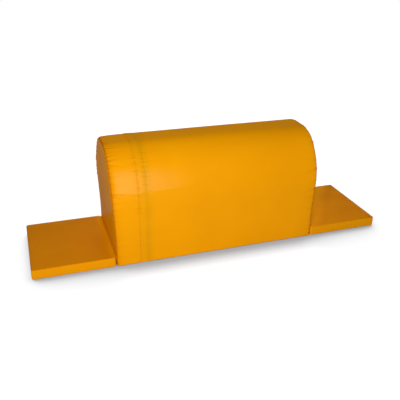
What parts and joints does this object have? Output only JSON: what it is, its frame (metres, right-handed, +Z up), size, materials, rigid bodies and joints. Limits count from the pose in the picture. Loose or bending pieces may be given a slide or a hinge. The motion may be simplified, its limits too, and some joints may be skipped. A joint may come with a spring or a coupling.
{
  "type": "soft pommel horse",
  "caption": "Soft foam gymnastics horse with a rounded top and a zipped vinyl cover, with a flat foam mat hinged to each end that folds up.",
  "frame": {"origin": "on the floor, at the middle of the footprint", "axes": "+X along the horse from its zipped end to its plain end, +Y to the back, +Z up"},
  "size_m": [1.7956, 0.4558, 0.5521],
  "materials": {
    "vinyl": "satin",
    "base_cloth": "matte",
    "firm_foam": "matte",
    "soft_foam": "matte",
    "zip_tape": "matte",
    "zip_teeth": "satin",
    "zip_metal": "satin"
  },
  "bodies": {
    "horse": {"horse_base_foam": "firm_foam", "horse_top_foam": "soft_foam", "horse_base_panel": "base_cloth", "horse_short_wrap": "vinyl", "horse_long_wrap": "vinyl", "horse_left_end_panel": "vinyl", "horse_right_end_panel": "vinyl", "horse_zip_flap": "vinyl", "horse_zip_tapes": "zip_tape", "horse_zip_chain": "zip_teeth", "horse_zip_stops": "zip_metal", "left_hinge_fixed_leaf": "vinyl", "right_hinge_fixed_leaf": "vinyl"},
    "horse_slider": {"horse_zip_slider": "zip_metal"},
    "horse_pull": {"horse_zip_pull": "zip_metal"},
    "left_mat": {"left_hinge_mat_leaf": "vinyl", "left_mat_foam": "soft_foam", "left_mat_top_panel": "vinyl", "left_mat_edge_band": "vinyl", "left_mat_base_panel": "base_cloth", "left_mat_zip_tapes": "zip_tape", "left_mat_zip_chain": "zip_teeth", "left_mat_zip_stops": "zip_metal"},
    "left_slider": {"left_mat_zip_slider": "zip_metal"},
    "left_pull": {"left_mat_zip_pull": "zip_metal"},
    "right_mat": {"right_hinge_mat_leaf": "vinyl", "right_mat_foam": "soft_foam", "right_mat_top_panel": "vinyl", "right_mat_edge_band": "vinyl", "right_mat_base_panel": "base_cloth", "right_mat_zip_tapes": "zip_tape", "right_mat_zip_chain": "zip_teeth", "right_mat_zip_stops": "zip_metal"},
    "right_slider": {"right_mat_zip_slider": "zip_metal"},
    "right_pull": {"right_mat_zip_pull": "zip_metal"}
  },
  "joints": [
    {"name": "horse_zip_slide", "type": "slide", "parent": "horse", "child": "horse_slider", "axis": [0, 0, 1], "range_m": [0, 0.2], "deforming": ["horse_zip_chain"]},
    {"name": "horse_pull_flip", "type": "hinge", "parent": "horse_slider", "child": "horse_pull", "pos_m": [-0.376, 0.227, 0.046], "axis": [1, 0, 0], "range_deg": [0, 170]},
    {"name": "left_mat_fold", "type": "hinge", "parent": "horse", "child": "left_mat", "pos_m": [-0.51157, 0, 0.05], "axis": [0, 1, 0], "range_deg": [0, 87]},
    {"name": "left_zip_slide", "type": "slide", "parent": "left_mat", "child": "left_slider", "axis": [1, 0, 0], "range_m": [0, 0.275], "deforming": ["left_mat_zip_chain"]},
    {"name": "left_pull_flip", "type": "hinge", "parent": "left_slider", "child": "left_pull", "pos_m": [-0.84377, 0.227, 0.025], "axis": [0, 0, -1], "range_deg": [0, 170]},
    {"name": "right_mat_fold", "type": "hinge", "parent": "horse", "child": "right_mat", "pos_m": [0.51157, 0, 0.05], "axis": [0, -1, 0], "range_deg": [0, 87]},
    {"name": "right_zip_slide", "type": "slide", "parent": "right_mat", "child": "right_slider", "axis": [-1, 0, 0], "range_m": [0, 0.275], "deforming": ["right_mat_zip_chain"]},
    {"name": "right_pull_flip", "type": "hinge", "parent": "right_slider", "child": "right_pull", "pos_m": [0.84377, 0.227, 0.025], "axis": [0, 0, 1], "range_deg": [0, 170]}
  ]
}
